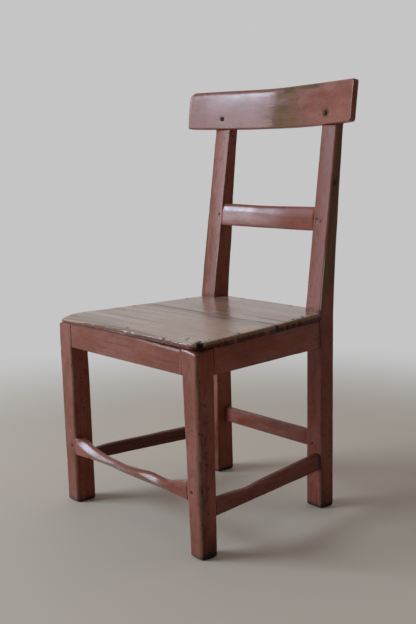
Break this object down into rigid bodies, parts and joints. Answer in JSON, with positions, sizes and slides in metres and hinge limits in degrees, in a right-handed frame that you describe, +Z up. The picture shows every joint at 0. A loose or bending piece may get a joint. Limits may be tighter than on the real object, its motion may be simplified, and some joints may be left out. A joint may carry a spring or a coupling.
{
  "type": "wooden chair",
  "caption": "Joined wooden country chair in worn red paint, with raked back posts, a bowed crest rail, a bare board seat and foot-worn stretchers.",
  "frame": {"origin": "on the floor, under the middle of the chair's box", "axes": "+Z up, -Y towards the front of the chair, -X to the left of someone who faces it"},
  "size_m": [0.511, 0.4576, 0.8969],
  "materials": {
    "painted_wood": "old oxide-red paint, satin, worn thin on the edges",
    "bare_wood": "bare grey-brown wood, polished by use",
    "iron": "dark wrought iron"
  },
  "bodies": {
    "root": {"front_leg_left": "painted_wood", "front_leg_right": "painted_wood", "rear_post_left": "painted_wood", "rear_post_right": "painted_wood", "front_seat_rail": "painted_wood", "rear_seat_rail": "painted_wood", "side_seat_rail_left": "painted_wood", "side_seat_rail_right": "painted_wood", "front_stretcher": "painted_wood", "rear_stretcher": "painted_wood", "side_stretcher_left": "painted_wood", "side_stretcher_right": "painted_wood", "mid_rail": "painted_wood", "crest_rail": "painted_wood", "mid_rail_peg_left": "painted_wood", "mid_rail_peg_right": "painted_wood", "front_stretcher_peg_left": "painted_wood", "front_stretcher_peg_right": "painted_wood", "rear_stretcher_peg_left": "painted_wood", "rear_stretcher_peg_right": "painted_wood", "seat_board_front": "bare_wood", "seat_board_rear": "bare_wood", "crest_nail_left": "iron", "crest_nail_right": "iron", "seat_nail_front_1": "iron", "seat_nail_rear_1": "iron", "seat_nail_rear_2": "iron", "seat_nail_left_1": "iron", "seat_nail_left_2": "iron", "seat_nail_right_1": "iron", "seat_nail_right_2": "iron", "seat_nail_right_3": "iron", "seat_nail_leg_left": "iron", "seat_nail_leg_right": "iron"}
  },
  "joints": []
}
